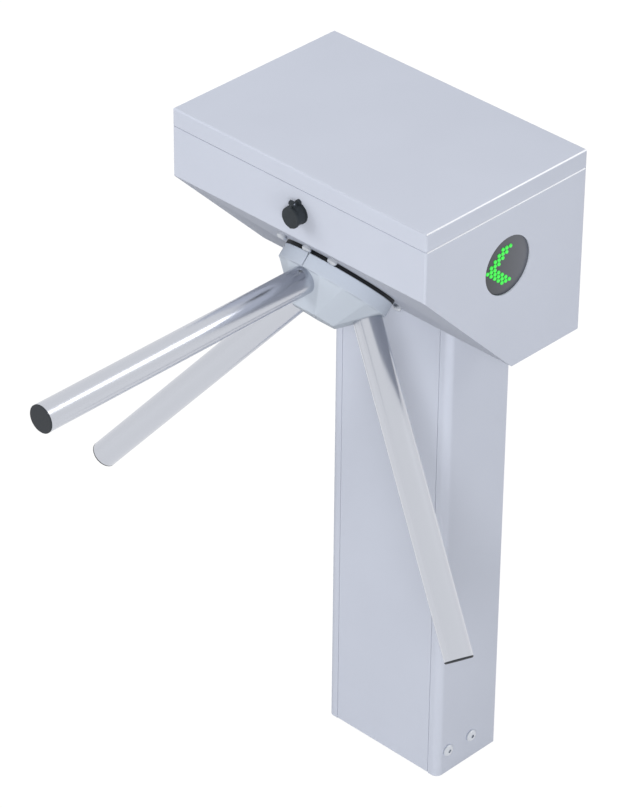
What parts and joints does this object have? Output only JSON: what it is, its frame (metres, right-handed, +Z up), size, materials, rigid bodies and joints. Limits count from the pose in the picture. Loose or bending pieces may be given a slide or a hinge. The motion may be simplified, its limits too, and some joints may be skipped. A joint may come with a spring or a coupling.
{
  "type": "tripod turnstile",
  "caption": "Access gate with a sheet steel housing on a narrow post and angled arms on a slanted hub that turns to let one person pass.",
  "frame": {"origin": "centre of the post footprint on the floor", "axes": "+Z up, -Y front, the side where the level arm reaches out, +X to the right seen from the front"},
  "size_m": [0.6812, 0.7375, 1],
  "materials": {
    "painted_sheet": "satin powder coat",
    "hub_paint": "satin powder coat on a cast hub",
    "stainless": "polished",
    "steel": "turned steel",
    "zinc_plated": "zinc plated",
    "motor_black": "black lacquer",
    "bronze": "machined",
    "alloy_case": "sheet alloy",
    "black_plastic": "matt",
    "black_metal": "matt black",
    "black_rubber": "matt",
    "circuit_board": "lacquered board"
  },
  "bodies": {
    "stand": {"post_shell": "painted_sheet", "post_front_panel": "painted_sheet", "panel_hooks": "zinc_plated", "foot_plate": "zinc_plated", "foot_cleats": "zinc_plated", "foot_side_bolts": "stainless", "post_top_plate": "zinc_plated", "post_top_bolts": "steel", "housing_shell": "painted_sheet", "lid_upstand": "painted_sheet", "lid_seal": "black_rubber", "cable_grommet": "black_rubber", "body_hinge_leaves": "zinc_plated", "hinge_pins": "stainless", "mechanism_plate": "zinc_plated", "flange_bolts": "stainless", "bearing_housing": "zinc_plated", "bearing_housing_bolts": "steel", "main_bearings": "steel", "bearing_circlip": "steel", "drive_motor": "motor_black", "pawl_pivots": "steel", "pawl_solenoids": "zinc_plated", "pawl_springs": "steel", "position_sensor": "black_plastic", "control_board": "circuit_board", "board_standoffs": "bronze", "power_supply": "alloy_case", "led_windows": "black_plastic", "led_boards": "circuit_board", "lock_housing": "black_metal", "lock_nut": "steel", "dust_cap_pin": "stainless"},
    "rotor": {"main_shaft": "steel", "shaft_keys": "bronze", "hub": "hub_paint", "hub_backplate": "black_metal", "backplate_screws": "steel", "hub_retaining_screw": "steel", "hub_cap_plug": "hub_paint", "arm_tube_front": "stainless", "arm_tube_left": "stainless", "arm_tube_right": "stainless", "arm_spigots": "zinc_plated", "arm_lock_screws": "steel", "arm_end_plugs": "black_plastic", "index_disc": "bronze", "drive_gear": "steel", "shaft_nut": "steel"},
    "pinion": {"motor_pinion": "steel"},
    "lid": {"lid": "painted_sheet", "lid_catch": "zinc_plated", "lid_hinge_leaves": "zinc_plated"},
    "dust_cap": {"dust_cap": "black_metal"},
    "lock_barrel": {"lock_plug": "steel", "lock_cam": "zinc_plated"},
    "upper_pawl": {"upper_pawl": "steel"},
    "lower_pawl": {"lower_pawl": "steel"},
    "upper_plunger": {"upper_plunger": "steel"},
    "lower_plunger": {"lower_plunger": "steel"}
  },
  "joints": [
    {"name": "rotor_turn", "type": "hinge", "parent": "stand", "child": "rotor", "pos_m": [0, -0.15325, 0.81875], "axis": [0, -0.7071, -0.7071], "continuous": true},
    {"name": "motor_turn", "type": "hinge", "parent": "stand", "child": "pinion", "pos_m": [-0.07, -0.15325, 0.81875], "axis": [0, -0.7071, -0.7071], "continuous": true},
    {"name": "lid_hinge", "type": "hinge", "parent": "stand", "child": "lid", "pos_m": [0, 0.0628, 0.975], "axis": [-1, 0, 0], "range_deg": [0, 95]},
    {"name": "dust_cap_hinge", "type": "hinge", "parent": "stand", "child": "dust_cap", "pos_m": [0.0055, -0.2484, 0.9596], "axis": [-1, 0, 0], "range_deg": [0, 110]},
    {"name": "key_turn", "type": "hinge", "parent": "stand", "child": "lock_barrel", "pos_m": [0.0055, -0.236, 0.941], "axis": [0, -1, 0], "range_deg": [0, 90]},
    {"name": "upper_plunger_slide", "type": "slide", "parent": "stand", "child": "upper_plunger", "axis": [0.866, -0.3536, 0.3536], "range_m": [0, 0.00503], "stiffness_N_per_m": 100, "springref_m": -0.003},
    {"name": "upper_pawl_swing", "type": "hinge", "parent": "stand", "child": "upper_pawl", "pos_m": [0.0253, -0.14277, 0.90868], "axis": [0, 0.7071, 0.7071], "range_deg": [0, 11.4]},
    {"name": "lower_plunger_slide", "type": "slide", "parent": "stand", "child": "lower_plunger", "axis": [0.866, 0.3536, -0.3536], "range_m": [0, 0.00503], "stiffness_N_per_m": 100, "springref_m": -0.003},
    {"name": "lower_pawl_swing", "type": "hinge", "parent": "stand", "child": "lower_pawl", "pos_m": [0.0253, -0.06332, 0.82923], "axis": [0, -0.7071, -0.7071], "range_deg": [0, 11.4]}
  ],
  "couplings": [
    {"joint": "motor_turn", "follows": "rotor_turn", "ratio": -2.5},
    {"joint": "upper_pawl_swing", "follows": "upper_plunger_slide", "rad_per_m": 38.46},
    {"joint": "lower_pawl_swing", "follows": "lower_plunger_slide", "rad_per_m": 38.46}
  ]
}
